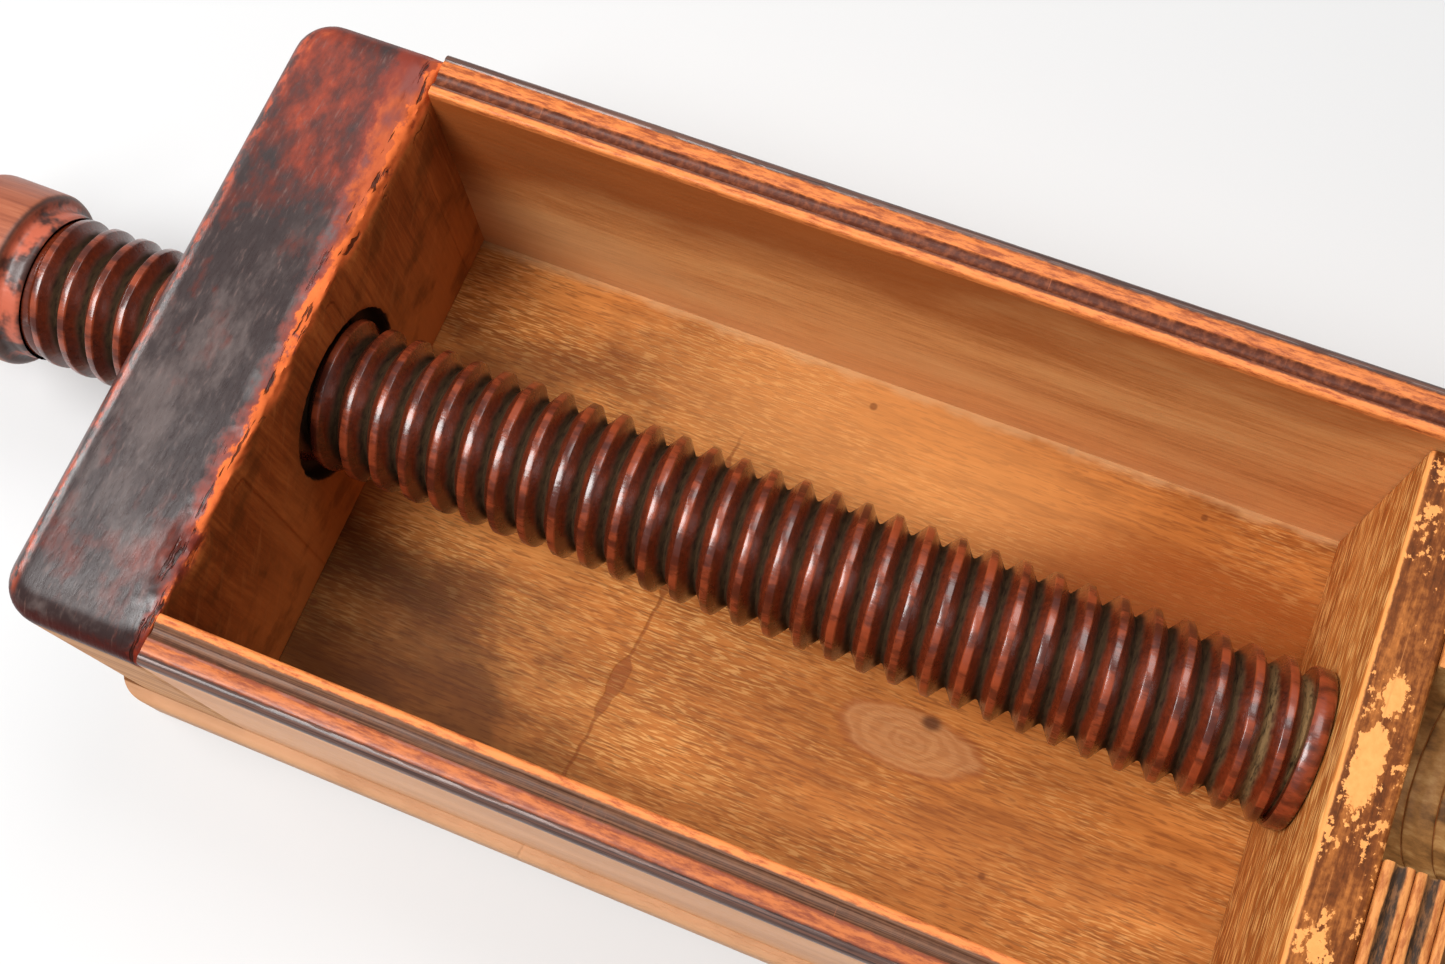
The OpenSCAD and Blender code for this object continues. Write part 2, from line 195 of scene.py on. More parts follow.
class Shader:
    """Builds a Principled material; each method adds a node and returns its output socket."""

    def __init__(self, name):
        self.material = bpy.data.materials.new(name)
        self.material.use_nodes = True
        self.tree = self.material.node_tree
        self.tree.nodes.clear()
        out = self.tree.nodes.new("ShaderNodeOutputMaterial")
        self.bsdf = self.tree.nodes.new("ShaderNodeBsdfPrincipled")
        self.tree.links.new(self.bsdf.outputs[0], out.inputs[0])
        self.place = None

    def put(self, socket, value):
        if isinstance(value, bpy.types.NodeSocket):
            self.tree.links.new(value, socket)
        else:
            socket.default_value = value

    def set(self, name, value):
        self.put(self.bsdf.inputs[name], value)

    def position(self):
        if self.place is None:
            self.place = self.tree.nodes.new("ShaderNodeTexCoord").outputs["Object"]
        return self.place

    def xyz(self):
        node = self.tree.nodes.new("ShaderNodeSeparateXYZ")
        self.put(node.inputs[0], self.position())
        return node.outputs[0], node.outputs[1], node.outputs[2]

    def vector(self, x, y, z):
        node = self.tree.nodes.new("ShaderNodeCombineXYZ")
        for socket, value in zip(node.inputs, (x, y, z)):
            self.put(socket, value)
        return node.outputs[0]

    def math(self, operation, a, b=0.0, clamp=False):
        node = self.tree.nodes.new("ShaderNodeMath")
        node.operation = operation
        node.use_clamp = clamp
        self.put(node.inputs[0], a)
        self.put(node.inputs[1], b)
        return node.outputs[0]

    def plus(self, a, b):
        return self.math("ADD", a, b)

    def minus(self, a, b):
        return self.math("SUBTRACT", a, b)

    def times(self, a, b):
        return self.math("MULTIPLY", a, b)

    def absolute(self, value):
        return self.math("ABSOLUTE", value)

    def scaled(self, x, y, z, warp=None):
        """The object's coordinates, or warped ones, times x, y and z."""
        node = self.tree.nodes.new("ShaderNodeVectorMath")
        node.operation = "MULTIPLY"
        self.put(node.inputs[0], warp or self.position())
        node.inputs[1].default_value = (x, y, z)
        return node.outputs[0]

    def warped(self, scale, amount):
        """Object coordinates pushed about by a soft noise, so that lines waver."""
        noise_node = self.tree.nodes.new("ShaderNodeTexNoise")
        noise_node.inputs["Scale"].default_value = scale
        noise_node.inputs["Detail"].default_value = 1.0
        self.put(noise_node.inputs["Vector"], self.position())
        push = self.tree.nodes.new("ShaderNodeVectorMath")
        push.operation = "MULTIPLY_ADD"
        self.put(push.inputs[0], noise_node.outputs["Color"])
        push.inputs[1].default_value = (amount,) * 3
        self.put(push.inputs[2], self.position())
        return push.outputs[0]

    def noise(self, vector, scale=1.0, detail=2.0, rough=0.5, seed=0.0):
        node = self.tree.nodes.new("ShaderNodeTexNoise")
        node.noise_dimensions = "4D"
        self.put(node.inputs["Vector"], vector)
        node.inputs["W"].default_value = seed
        node.inputs["Scale"].default_value = scale
        node.inputs["Detail"].default_value = detail
        node.inputs["Roughness"].default_value = rough
        return node.outputs["Fac"]

    def specks(self, scale):
        """Distance to the nearest of a scatter of points, about 1/scale metres apart."""
        node = self.tree.nodes.new("ShaderNodeTexVoronoi")
        self.put(node.inputs["Vector"], self.position())
        node.inputs["Scale"].default_value = scale
        return node.outputs["Distance"]

    def hypot(self, a, b):
        """The long side of a right-angled triangle with sides a and b."""
        return self.math("SQRT", self.plus(self.math("POWER", a, 2.0), self.math("POWER", b, 2.0)))

    def step(self, value, start, end):
        """0 at start, 1 at end, smooth between; start may be above end."""
        node = self.tree.nodes.new("ShaderNodeMapRange")
        node.interpolation_type = "SMOOTHSTEP"
        self.put(node.inputs["Value"], value)
        node.inputs["From Min"].default_value = start
        node.inputs["From Max"].default_value = end
        return node.outputs[0]

    def ramp(self, value, *stops):
        node = self.tree.nodes.new("ShaderNodeValToRGB")
        self.put(node.inputs[0], value)
        elements = node.color_ramp.elements
        while len(elements) < len(stops):
            elements.new(0.5)
        for element, (at, colour) in zip(elements, stops):
            element.position = at
            element.color = colour
        return node.outputs[0]

    def mix(self, factor, a, b):
        node = self.tree.nodes.new("ShaderNodeMix")
        node.data_type = "RGBA"
        self.put(node.inputs[0], factor)
        self.put(node.inputs[6], a)
        self.put(node.inputs[7], b)
        return node.outputs[2]

    def tint(self, colour, mask, amount, other):
        """The colour with some of the other one, up to amount where mask is 1."""
        return self.mix(self.times(mask, amount), colour, other)

    def either(self, *masks):
        out = masks[0]
        for mask in masks[1:]:
            out = self.math("MAXIMUM", out, mask)
        return out

    def both(self, *masks):
        out = masks[0]
        for mask in masks[1:]:
            out = self.times(out, mask)
        return out

    def invert(self, mask):
        return self.minus(1.0, mask)

    def bump(self, height, distance):
        node = self.tree.nodes.new("ShaderNodeBump")
        node.inputs["Distance"].default_value = distance
        self.put(node.inputs["Height"], height)
        return node.outputs[0]


AXES = {"x": 0, "y": 1, "z": 2}


def stretched(shade, axis, along, across, warp=None):
    """Coordinates for wood grain, in cycles a metre along it and across it."""
    factors = [across] * 3
    factors[AXES[axis]] = along
    return shade.scaled(*factors, warp=warp)


def wood_grain(shade, axis, light, mid, dark, seed=0.0, contrast=1.0):
    """Layered wood colour of broad figure and fine fibres. Returns the colour and the fibres."""
    warp = shade.warped(7.0, 0.012)
    figure = shade.noise(stretched(shade, axis, 5.0, 60.0, warp), 1.0, 3.0, 0.55, seed)
    fibres = shade.noise(stretched(shade, axis, 40.0, 700.0, warp), 1.0, 4.0, 0.65, seed + 3)
    tone = shade.plus(shade.times(figure, 0.55), shade.times(fibres, 0.45))
    spread = 0.17 / contrast
    colour = shade.ramp(tone, (0.5 - spread, dark), (0.5, mid), (0.5 + spread, light))
    return colour, fibres


def dashes(shade, axis, along, across, seed, start=0.52, end=0.62):
    """Short streaks along the grain, a mask from 0 to 1."""
    return shade.step(shade.noise(stretched(shade, axis, along, across), 1.0, 1.5, 0.5, seed), start, end)


def ellipse(shade, u, v, centre, radii, ragged):
    """How far out in an ellipse: 0 in its middle and 1 at its edge, with ragged noise (about 0.5) added."""
    du = shade.math("DIVIDE", shade.minus(u, centre[0]), radii[0])
    dv = shade.math("DIVIDE", shade.minus(v, centre[1]), radii[1])
    reach = shade.math("SQRT", shade.plus(shade.times(du, du), shade.times(dv, dv)))
    return shade.minus(shade.plus(reach, ragged), 0.5)


# ---------------------------------------------------------------- mesh building

def new_object(name, vertices, faces, material, body, node):
    """A piece made of these vertices and faces, in place of a CAD node."""
    mesh = bpy.data.meshes.new(name)
    mesh.from_pydata([tuple(v) for v in vertices], [], faces)
    mesh.validate()
    finish_object(name, mesh, material, body, node)


def finish_object(name, mesh, material, body, node, sharp=40.0):
    """Gives a mesh its material, outward normals and crisp edges, and joins it to its body."""
    work = bmesh.new()
    work.from_mesh(mesh)
    bmesh.ops.recalc_face_normals(work, faces=work.faces)
    work.to_mesh(mesh)
    work.free()
    mesh.materials.clear()
    mesh.materials.append(material)
    mesh.polygons.foreach_set("use_smooth", [True] * len(mesh.polygons))
    mesh.set_sharp_from_angle(angle=math.radians(sharp))
    piece = bpy.data.objects.new(name, mesh)
    bpy.context.collection.objects.link(piece)
    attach(piece, body)
    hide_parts(node)


def wobble(point, scale, seed):
    """Smooth noise from -1 to 1 at a point, with features about 1/scale metres across."""
    return noise.noise(Vector(point) * scale + Vector((seed, seed * 1.7, seed * 0.3)))


def worn_copy(node, name, material, body, voxel, smoothing, shape=None):
    """A CAD node's mesh, remeshed finely with softened edges; shape moves its points."""
    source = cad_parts[node]
    copy = bpy.data.objects.new(name + "_work", source.data.copy())
    bpy.context.collection.objects.link(copy)
    remesh = copy.modifiers.new("remesh", "REMESH")
    remesh.mode = "VOXEL"
    remesh.voxel_size = voxel
    smooth = copy.modifiers.new("smooth", "SMOOTH")
    smooth.factor = 0.5
    smooth.iterations = smoothing
    evaluated = copy.evaluated_get(bpy.context.evaluated_depsgraph_get())
    mesh = bpy.data.meshes.new_from_object(evaluated)
    mesh.name = name
    bpy.data.objects.remove(copy)
    if shape is not None:
        points = np.empty(len(mesh.vertices) * 3)
        mesh.vertices.foreach_get("co", points)
        points = shape(points.reshape(-1, 3))
        mesh.vertices.foreach_set("co", points.ravel())
        mesh.update()
    finish_object(name, mesh, material, body, node)


def swept_board(name, section, stations, place, material, body, node):
    """A board of one closed (u, v) section at each station; place(u, v, s) gives the point."""
    count = len(section)
    vertices = [place(u, v, s) for s in stations for u, v in section]
    faces = [(i * count + j, i * count + (j + 1) % count, (i + 1) * count + (j + 1) % count,
              (i + 1) * count + j)
             for i in range(len(stations) - 1) for j in range(count)]
    last = (len(stations) - 1) * count
    faces.append(tuple(range(count))[::-1])
    faces.append(tuple(range(last, last + count)))
    new_object(name, vertices, faces, material, body, node)


def arc(centre, radius, start, end, steps):
    """Points along an arc, angles in degrees."""
    return [(centre[0] + radius * math.cos(math.radians(a)), centre[1] + radius * math.sin(math.radians(a)))
            for a in np.linspace(start, end, steps)]


# ---------------------------------------------------------------- materials

def base_material():
    """Golden brown floor: bright flecks, darker stains deepened by painted shade towards the nut block, a
    painted shadow in the near corner, a knot and an old crack.
    """
    shade = Shader("base_wood")
    x, y, z = shade.xyz()
    colour, fibres = wood_grain(shade, "x", rgb(220, 144, 74), rgb(194, 118, 54), rgb(146, 82, 34), 1.0, 1.2)
    patch = shade.noise(shade.scaled(9, 20, 9), 1.0, 3.0, 0.55, 12.0)
    bright = shade.both(dashes(shade, "x", 170.0, 1500.0, 11.0, 0.48, 0.61), shade.step(patch, 0.38, 0.58))
    colour = shade.tint(colour, bright, 0.75, rgb(240, 180, 108))
    dull = dashes(shade, "x", 150.0, 1400.0, 13.0, 0.52, 0.64)
    colour = shade.tint(colour, dull, 0.6, rgb(140, 78, 36))
    stain = shade.noise(shade.scaled(13, 24, 13), 1.0, 5.0, 0.62, 20.0)
    # stains all over, deepened towards the nut block by painted shade
    nut_side_shade = shade.step(x, nut_face + 150 * MM, nut_face - 10 * MM)
    stain_and_shade = shade.both(shade.step(stain, 0.40, 0.60), shade.math("ADD", nut_side_shade, 0.36, True))
    colour = shade.tint(colour, stain_and_shade, 0.7, rgb(110, 60, 28))
    far_right = ellipse(shade, x, y, (55 * MM, 45 * MM), (75 * MM, 26 * MM), stain)
    colour = shade.tint(colour, shade.step(far_right, 1.3, 0.6), 0.85, rgb(150, 76, 26))
    far_mid = ellipse(shade, x, y, (-70 * MM, 70 * MM), (100 * MM, 40 * MM), stain)
    colour = shade.tint(colour, shade.step(far_mid, 1.2, 0.4), 0.4, rgb(236, 166, 98))
    # painted shadow: the near corner by the nut block and near wall, mottled by the stain noise
    near_corner_shadow = shade.both(shade.step(x, nut_face + 130 * MM, nut_face),
                             shade.step(y, -inner_half + 84 * MM, -inner_half))
    near_corner_shadow = shade.both(near_corner_shadow, shade.plus(shade.step(stain, 0.30, 0.60), 0.45), 1.5)
    colour = shade.mix(shade.math("MINIMUM", near_corner_shadow, 0.62), colour, rgb(56, 29, 9))

    # knot: a greyer oval, ringed, with a dark eye towards the far side
    ragged = shade.noise(shade.scaled(90, 140, 90), 1.0, 3.0, 0.6, 21.0)
    rag = shade.times(ragged, 0.5)
    knot = ellipse(shade, x, y, KNOT_AT, KNOT_SIZE, rag)
    rings = shade.math("SINE", shade.times(knot, 26.0))
    knot_colour = shade.mix(shade.step(rings, -0.6, 1.0), rgb(190, 132, 84), rgb(178, 118, 72))
    colour = shade.tint(colour, shade.step(knot, 0.85, 0.62), 0.7, knot_colour)
    outline = shade.both(shade.step(knot, 0.62, 0.74), shade.step(knot, 0.90, 0.78))
    colour = shade.tint(colour, outline, 0.45, rgb(148, 78, 38))
    eye = ellipse(shade, x, y, KNOT_EYE_AT, KNOT_EYE_SIZE, rag)
    colour = shade.tint(colour, shade.step(eye, 1.1, 0.2), 0.85, rgb(84, 46, 26))

    # one old crack and smear across the grain
    curve = shade.plus(shade.times(y, 0.0725), CRACK_X)
    curve = shade.minus(curve, shade.times(shade.times(y, y), 0.28))
    wander = shade.noise(shade.vector(0.0, y, 0.0), 60.0, 3.0, 0.6, 22.0)
    curve = shade.plus(curve, shade.times(shade.minus(wander, 0.5), 5 * MM))
    off = shade.absolute(shade.minus(x, curve))
    swell = shade.noise(shade.vector(0.0, y, 0.0), 34.0, 2.0, 0.5, 23.0)
    wide = shade.times(shade.step(swell, 0.50, 0.64), 2.6 * MM)
    crack = shade.both(shade.step(shade.minus(off, wide), 0.9 * MM, 0.1 * MM),
                       shade.step(y, 58 * MM, 44 * MM))
    colour = shade.tint(colour, crack, 0.6, rgb(132, 66, 30))

    # a few dark specks
    spot = shade.both(shade.step(shade.specks(26.0), 0.05, 0.03), shade.step(knot, 0.9, 1.1))
    colour = shade.tint(colour, spot, 0.55, rgb(96, 44, 20))

    # pale dust in the corner along the far wall, and tan edges outside
    dust_edge = shade.minus(inner_half, shade.absolute(y))
    dust = shade.step(shade.plus(dust_edge, shade.times(ragged, 9 * MM)), 9 * MM, 4.5 * MM)
    far_side = shade.step(y, 0.0, 20 * MM)
    colour = shade.mix(shade.both(dust, far_side, 0.6), colour, rgb(206, 160, 112))
    outside = shade.either(shade.step(shade.absolute(y), inner_half + wall_t - 0.3 * MM,
                                      inner_half + wall_t + 0.2 * MM),
                           shade.step(z, floor_top - 0.4 * MM, floor_top - 0.9 * MM))
    tan = shade.mix(shade.step(stain, 0.38, 0.62), rgb(178, 130, 94), rgb(200, 152, 114))
    colour = shade.tint(colour, outside, 0.95, tan)
    shade.set("Base Color", colour)
    shade.set("Roughness", shade.plus(shade.times(fibres, 0.25), 0.40))
    shade.set("Specular IOR Level", 0.12)
    height = shade.plus(shade.times(fibres, 0.5), shade.times(bright, 0.5))
    height = shade.minus(height, crack)
    shade.set("Normal", shade.bump(height, 0.22 * MM))
    return shade.material


def wall_material():
    """Orange brown boards; the moulded top has worn bright beads, a dark hollow with painted sheen on the
    near wall, a painted shade on the rounded edge outside, and fine scratches.
    """
    shade = Shader("wall_wood")
    x, y, z = shade.xyz()
    colour, fibres = wood_grain(shade, "x", rgb(240, 180, 116), rgb(226, 156, 94), rgb(194, 122, 66),
                                2.0, 1.2)
    speckle = shade.noise(stretched(shade, "x", 420.0, 1500.0), 1.0, 2.0, 0.6, 30.0)
    colour = shade.tint(colour, shade.step(speckle, 0.5, 0.7), 0.3, rgb(236, 172, 116))
    pores = shade.step(shade.noise(stretched(shade, "x", 150.0, 2400.0), 1.0, 2.0, 0.6, 9.0), 0.42, 0.30)
    colour = shade.tint(colour, pores, 0.25, rgb(120, 58, 24))

    # old varnish, deep orange, high on the inner faces and towards the nut block
    height = shade.math("DIVIDE", shade.minus(z, floor_top), wall_top - floor_top)
    along = shade.math("DIVIDE", shade.minus(x, nut_face), tail_face - nut_face)
    cloud = shade.noise(stretched(shade, "x", 9.0, 26.0), 1.0, 5.0, 0.6, 35.0)
    varnish = shade.minus(height, shade.times(along, 0.75))
    varnish = shade.plus(varnish, shade.times(cloud, 0.7))
    inner_side = shade.step(shade.absolute(y), inner_half + 1.0 * MM, inner_half + 0.3 * MM)
    varnish = shade.both(shade.step(varnish, 0.62, 0.98), inner_side)
    colour = shade.tint(colour, varnish, 0.88, shade.mix(cloud, rgb(116, 48, 12), rgb(174, 88, 34)))
    pale = shade.both(shade.step(height, 0.55, 0.20), shade.step(along, 0.75, 0.10),
                      shade.step(cloud, 0.30, 0.60), inner_side)
    colour = shade.tint(colour, pale, 0.5, rgb(222, 176, 124))
    dust = shade.both(shade.step(shade.plus(height, shade.times(cloud, 0.3)), 0.26, 0.12), inner_side)
    colour = shade.tint(colour, dust, 0.25, rgb(206, 164, 122))

    outside = shade.step(shade.absolute(y), inner_half + wall_t - 1.0 * MM, inner_half + wall_t - 0.3 * MM)
    tan = shade.mix(shade.step(cloud, 0.36, 0.64), rgb(200, 140, 96), rgb(222, 164, 118))
    colour = shade.tint(colour, outside, 0.75, tan)

    # the moulded top, by distance from the inner face
    inset = shade.minus(shade.absolute(y), inner_half)
    ragged = shade.noise(shade.scaled(420, 420, 420), 1.0, 3.0, 0.6, 31.0)
    inset = shade.plus(inset, shade.times(shade.minus(ragged, 0.5), 1.1 * MM))
    mottle = shade.noise(stretched(shade, "x", 110.0, 620.0), 1.0, 5.0, 0.75, 33.0)
    near = shade.step(y, 10 * MM, -10 * MM)
    worn = shade.mix(shade.step(mottle, 0.36, 0.60), rgb(142, 68, 36), rgb(214, 122, 62))
    rubbed = shade.step(shade.absolute(shade.minus(inset, WIDE_BEAD_AT)), 2.6 * MM, 0.6 * MM)
    rubbed = shade.plus(shade.times(rubbed, 0.35), mottle)
    worn = shade.mix(shade.both(near, shade.step(rubbed, 0.86, 0.52), 0.85), worn, rgb(128, 62, 40))
    worn = shade.tint(worn, near, 0.4, rgb(128, 60, 34))
    inner_bead = shade.mix(shade.step(mottle, 0.34, 0.56), rgb(160, 76, 36), rgb(222, 130, 68))
    hollow = shade.mix(shade.step(ragged, 0.4, 0.7), rgb(84, 40, 24), rgb(124, 66, 40))
    lines = shade.noise(stretched(shade, "x", 16.0, 2600.0), 1.0, 2.0, 0.6, 37.0)
    # painted reflection: the near wall's hollow tinted greyish as if catching a sheen, with fine streaks
    hollow_sheen = shade.mix(shade.step(lines, 0.36, 0.64), rgb(66, 44, 32), rgb(122, 88, 66))
    hollow = shade.tint(hollow, near, 0.75, hollow_sheen)
    scratch = shade.noise(shade.scaled(1100, 22, 0), 1.0, 1.0, 0.5, 36.0)
    hollow = shade.tint(hollow, shade.step(scratch, 0.66, 0.74), 0.5, rgb(190, 110, 74))
    # painted shade: a dark band over the rounded edge on the outside of the top, with fine streaks
    outer_edge_shade = shade.mix(shade.step(lines, 0.36, 0.64), rgb(58, 40, 36), rgb(104, 72, 60))
    bands = shade.mix(shade.step(inset, 2.3 * MM, 3.1 * MM), inner_bead, hollow)
    bands = shade.mix(shade.step(inset, 7.3 * MM, 8.2 * MM), bands, worn)
    bands = shade.mix(shade.step(inset, 12.0 * MM, 12.8 * MM), bands, outer_edge_shade)
    on_top = shade.step(z, wall_top - 3.0 * MM, wall_top - 2.4 * MM)
    colour = shade.mix(on_top, colour, bands)
    quirk = shade.both(shade.step(z, wall_top - 3.8 * MM, wall_top - 3.3 * MM),
                       shade.step(z, wall_top - 2.5 * MM, wall_top - 2.9 * MM),
                       shade.step(inset, 13.0 * MM, 13.6 * MM))
    colour = shade.tint(colour, quirk, 0.85, rgb(104, 30, 14))
    shade.set("Base Color", colour)
    shade.set("Roughness", shade.plus(shade.times(ragged, 0.3), 0.30))
    shade.set("Specular IOR Level", 0.22)
    glossy = shade.both(shade.step(inset, 11.0 * MM, 12.5 * MM),
                        shade.step(z, wall_top - 3.6 * MM, wall_top - 2.6 * MM))
    shade.set("Coat Weight", shade.times(glossy, 0.5))
    shade.set("Coat Roughness", 0.25)
    shade.set("Normal", shade.bump(fibres, 0.14 * MM))
    return shade.material


def block_material():
    """Dark lacquer over mahogany red, worn to orange along the inner edge, with a painted sheen on the top;
    bare inner faces.
    """
    shade = Shader("block_lacquer")
    x, y, z = shade.xyz()
    mirrored = shade.times(shade.absolute(x), -1.0)  # both blocks share the nut block's pattern
    bare, _ = wood_grain(shade, "z", rgb(180, 102, 48), rgb(142, 72, 30), rgb(98, 46, 18), 4.0)
    streaks = shade.noise(shade.vector(0.0, shade.times(shade.minus(y, z), 210.0),
                                       shade.times(shade.plus(y, z), 30.0)), 1.0, 3.0, 0.6, 41.0)
    bare = shade.tint(bare, shade.step(streaks, 0.52, 0.72), 0.4, rgb(176, 108, 58))
    low = shade.step(z, floor_top + 80 * MM, floor_top)
    bare = shade.tint(bare, low, 0.8, rgb(190, 116, 58))
    blot = shade.noise(shade.scaled(30, 34, 46), 1.0, 5.0, 0.65, 42.0)
    bare = shade.tint(bare, shade.step(blot, 0.48, 0.66), 0.55, rgb(84, 48, 20))

    # lacquer: near black, showing red where it has thinned, mostly at the far end
    cloud = shade.noise(shade.scaled(30, 17, 30), 1.0, 5.0, 0.65, 43.0)
    fine = shade.noise(shade.scaled(260, 150, 260), 1.0, 4.0, 0.65, 44.0)
    outer_edge = shade.minus(mirrored, nut_low[0])
    thin = shade.plus(cloud, shade.times(fine, 0.3))
    thin = shade.plus(thin, shade.times(shade.step(y, 35 * MM, 105 * MM), 0.10))
    lacquer = shade.ramp(thin, (0.0, rgb(34, 28, 28)), (0.68, rgb(50, 38, 37)), (0.78, rgb(86, 34, 24)),
                         (0.88, rgb(132, 48, 26)), (0.98, rgb(190, 88, 46)))
    sides = shade.step(z, wall_top - 1.0 * MM, wall_top - 5 * MM)
    rim = shade.both(shade.step(outer_edge, 8 * MM, 4 * MM), shade.invert(sides))
    lacquer = shade.mix(shade.both(shade.step(fine, 0.46, 0.60), rim, 0.85), lacquer, rgb(176, 70, 34))
    lacquer = shade.tint(lacquer, sides, 0.8, rgb(66, 18, 12))
    wrinkles = shade.noise(shade.vector(shade.times(x, 620.0), shade.times(y, 130.0), 0.0),
                           1.0, 4.0, 0.7, 49.0)
    lacquer = shade.tint(lacquer, shade.step(wrinkles, 0.54, 0.70), 0.45, rgb(112, 84, 76))

    # painted reflection: a greyish sheen of the lamps on the lacquered top, mostly over the near half
    painted_sheen = shade.noise(shade.scaled(55, 26, 55), 1.0, 5.0, 0.7, 40.0)
    painted_sheen = shade.both(shade.step(painted_sheen, 0.46, 0.64), shade.step(y, 60 * MM, 0.0), shade.invert(sides), 0.5)
    lacquer = shade.mix(painted_sheen, lacquer, rgb(106, 92, 88))

    # worn strip along the inner top edge: red, then orange, then bare; wider at the far end
    edge = shade.minus(nut_face, mirrored)
    rag = shade.times(shade.noise(shade.scaled(40, 46, 40), 1.0, 5.0, 0.7, 45.0), 9.0 * MM)
    far_end = shade.step(y, 10 * MM, 95 * MM)
    rag = shade.minus(rag, shade.times(shade.step(y, -30 * MM, -100 * MM), 3.0 * MM))
    beyond = shade.minus(edge, rag)
    flaking = shade.times(shade.minus(fine, 0.5), 14.0 * MM)
    reach = shade.minus(beyond, shade.times(far_end, 9.0 * MM))
    red = shade.step(shade.plus(reach, flaking), 4.0 * MM, -1.0 * MM)
    orange = shade.step(shade.plus(beyond, flaking), -0.6 * MM, -2.4 * MM)
    glow = shade.both(shade.step(shade.plus(reach, flaking), 0.5 * MM, -3.5 * MM),
                      shade.step(cloud, 0.44, 0.56))
    orange = shade.either(orange, shade.times(glow, 0.6))
    top = shade.tint(lacquer, red, 0.85, rgb(128, 42, 22))
    top = shade.mix(orange, top, shade.mix(fine, rgb(236, 122, 62), rgb(176, 72, 34)))
    splinter = shade.noise(shade.vector(shade.times(x, 520.0), shade.times(y, 60.0), 0.0),
                           1.0, 3.0, 0.6, 47.0)
    splinter = shade.both(shade.step(splinter, 0.57, 0.62), shade.step(edge, 7.5 * MM, 4.0 * MM))
    top = shade.tint(top, splinter, 0.85, rgb(38, 20, 14))

    inner = shade.both(shade.step(z, wall_top - 1.2 * MM, wall_top - 3.0 * MM),
                       shade.step(edge, 1.2 * MM, 0.3 * MM))
    colour = shade.mix(inner, top, bare)
    side = shade.both(shade.step(shade.absolute(y), nut_high[1] - 1.0 * MM, nut_high[1] - 0.2 * MM),
                      shade.step(z, wall_top - 9 * MM, wall_top - 11 * MM))
    colour = shade.mix(side, colour,
                       shade.mix(shade.step(streaks, 0.3, 0.7), rgb(176, 120, 78), rgb(214, 162, 118)))
    radius = radius_from_axis(shade, y, z)
    mouth = shade.both(shade.step(radius, 31.5 * MM, 30.2 * MM), shade.step(edge, 0.1 * MM, 0.8 * MM),
                       shade.step(edge, 12.0 * MM, 9.0 * MM), shade.step(x, 10 * MM, -10 * MM))
    colour = shade.mix(mouth, colour, rgb(78, 54, 34))
    shade.set("Base Color", colour)
    bare_mask = shade.either(orange, inner, side, mouth)
    rough = shade.plus(shade.times(bare_mask, 0.22), shade.times(wrinkles, 0.32))
    near_end = shade.step(y, -nut_high[1] + 13 * MM, -nut_high[1] + 6 * MM)
    rough = shade.plus(rough, shade.times(shade.either(red, far_end), 0.20))
    shade.set("Roughness", shade.plus(rough, 0.13))
    dull = shade.either(near_end, shade.times(bare_mask, 0.8))
    shade.set("Specular IOR Level", shade.minus(0.5, shade.times(dull, 0.48)))
    ripple = shade.noise(shade.scaled(130, 60, 130), 1.0, 3.0, 0.55, 48.0)
    height = shade.plus(shade.times(wrinkles, 0.30), shade.times(ripple, 0.70))
    height = shade.minus(height, shade.times(splinter, 1.5))
    shade.set("Normal", shade.bump(height, 0.32 * MM))
    return shade.material


def radius_from_axis(shade, y, z):
    """Distance from the screw's axis."""
    return shade.hypot(shade.minus(y, axis_y), shade.minus(z, axis_z))


def screw_material():
    """Deep red glossy crests and flanks, dark dirt and painted shade in the root of the thread, dusty at the
    front end.
    """
    shade = Shader("screw_wood")
    x, y, z = shade.xyz()
    radius = radius_from_axis(shade, y, z)
    colour, fibres = wood_grain(shade, "x", rgb(116, 46, 22), rgb(90, 33, 14), rgb(56, 20, 9), 5.0)
    patch = shade.noise(shade.scaled(45, 110, 110), 1.0, 4.0, 0.62, 51.0)
    crest = shade.step(radius, CREST_R - 0.75 * MM, CREST_R - 0.3 * MM)
    worn = shade.mix(shade.step(patch, 0.40, 0.62), rgb(72, 30, 20), rgb(150, 66, 36))
    colour = shade.tint(colour, crest, 0.8, worn)
    dust = shade.noise(shade.scaled(1100, 240, 240), 1.0, 4.0, 0.75, 53.0)
    # dark dirt with painted shade deep in the thread's root; dusty towards the front end
    depth = shade.minus(CREST_R, shade.plus(radius, shade.times(shade.minus(patch, 0.5), 3.0 * MM)))
    grime_and_shade = shade.step(depth, 2.4 * MM, 4.5 * MM)
    dusty = shade.plus(shade.step(x, thread_end - 26 * MM, thread_end + 2 * MM), 0.12)
    grime_and_shade_colour = shade.mix(shade.times(shade.step(dust, 0.30, 0.60), dusty), rgb(30, 18, 12),
                             rgb(134, 104, 68))
    colour = shade.mix(grime_and_shade, colour, grime_and_shade_colour)
    shade.set("Base Color", colour)
    rough = shade.plus(shade.times(grime_and_shade, 0.45), shade.times(patch, 0.30))
    shade.set("Roughness", shade.plus(rough, 0.12))
    shade.set("Specular IOR Level", shade.minus(0.5, shade.times(grime_and_shade, 0.42)))
    shade.set("Coat Weight", shade.times(shade.invert(grime_and_shade), 0.35))
    shade.set("Coat Roughness", 0.12)
    height = shade.plus(shade.times(fibres, 0.6), shade.times(patch, 0.8))
    shade.set("Normal", shade.bump(height, 0.22 * MM))
    return shade.material


